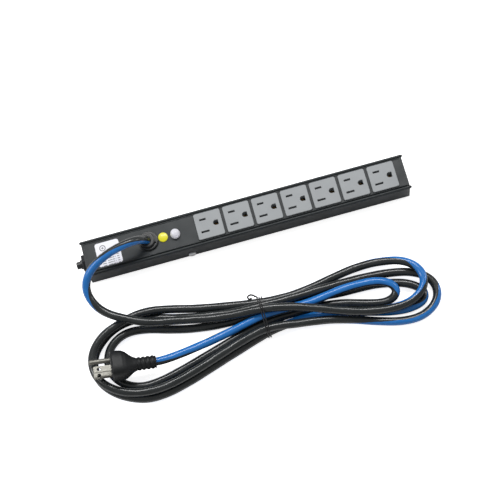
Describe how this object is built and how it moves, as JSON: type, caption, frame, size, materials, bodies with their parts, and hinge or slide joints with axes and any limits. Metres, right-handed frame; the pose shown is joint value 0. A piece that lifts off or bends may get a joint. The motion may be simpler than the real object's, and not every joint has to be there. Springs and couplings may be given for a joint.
{
  "type": "rack power strip",
  "caption": "Long aluminium channel with a row of grounded outlets, a push-to-reset breaker in the end, two lamps and a coiled cord with plug.",
  "frame": {"origin": "centre of the channel's flat back face", "axes": "+X along the strip, away from the end with the breaker; +Y across it, away from the coiled cord; +Z out of the outlets"},
  "size_m": [0.3507, 0.1688, 0.0557],
  "materials": {
    "housing_metal": "semi-matt dark grey coating",
    "outlet_plastic": "fine-textured light grey moulding",
    "inner_plastic": "moulded",
    "black_plastic": "moulded, slightly glossy",
    "contact_brass": "stamped",
    "plated_blade": "nickel plated",
    "plated_steel": "zinc plated",
    "dark_steel": "blackened",
    "spring_steel": "drawn wire",
    "clear_lens": "translucent",
    "yellow_lens": "translucent",
    "lamp_glass": "clear",
    "resistor_ceramic": "lacquered",
    "cord_jacket": "smooth, with one blue band",
    "plug_rubber": "moulded",
    "black_wire": "smooth",
    "white_wire": "smooth",
    "green_wire": "smooth",
    "tie_plastic": "smooth",
    "label_paper": "matt label stock",
    "liner_paper": "vulcanised fibre"
  },
  "bodies": {
    "strip": {"housing_channel": "housing_metal", "face_plate": "housing_metal", "end_cap_left": "housing_metal", "end_cap_right": "housing_metal", "end_cap_screws": "dark_steel", "insulating_liner": "liner_paper", "rating_label": "label_paper", "hot_bus_bar": "contact_brass", "neutral_bus_bar": "contact_brass", "ground_bus_bar": "contact_brass", "breaker_case": "black_plastic", "breaker_spring": "spring_steel", "breaker_line_terminal": "contact_brass", "breaker_load_terminal": "contact_brass", "breaker_bimetal": "plated_steel", "breaker_nut": "dark_steel", "breaker_lock_washer": "dark_steel", "clear_lamp_lens": "clear_lens", "yellow_lamp_lens": "yellow_lens", "lamp_bodies": "inner_plastic", "lamp_clips": "plated_steel", "neon_bulbs": "lamp_glass", "lamp_resistors": "resistor_ceramic", "lamp_leads": "plated_steel", "power_cord": "cord_jacket", "strain_relief_bushing": "black_plastic", "strain_relief_lock": "black_plastic", "twist_tie": "tie_plastic", "wire_terminals": "plated_blade", "bonding_screw": "plated_steel", "bonding_nut": "plated_steel", "ground_ring_terminals": "plated_blade", "plug_body": "plug_rubber", "plug_insert": "inner_plastic", "hot_blade": "plated_blade", "neutral_blade": "plated_blade", "ground_pin": "plated_blade", "hot_lead": "black_wire", "breaker_load_lead": "black_wire", "neutral_lead": "white_wire", "ground_lead": "green_wire", "ground_jumper": "green_wire", "outlet_1_face": "outlet_plastic", "outlet_1_back": "inner_plastic", "outlet_2_face": "outlet_plastic", "outlet_2_back": "inner_plastic", "outlet_3_face": "outlet_plastic", "outlet_3_back": "inner_plastic", "outlet_4_face": "outlet_plastic", "outlet_4_back": "inner_plastic", "outlet_5_face": "outlet_plastic", "outlet_5_back": "inner_plastic", "outlet_6_face": "outlet_plastic", "outlet_6_back": "inner_plastic", "outlet_7_face": "outlet_plastic", "outlet_7_back": "inner_plastic"},
    "button": {"breaker_button": "black_plastic", "breaker_bridge": "contact_brass"}
  },
  "joints": [
    {"name": "breaker_reset", "type": "slide", "parent": "strip", "child": "button", "axis": [-1, 0, 0], "range_m": [0, 0.0032], "deforming": ["breaker_spring"]}
  ]
}
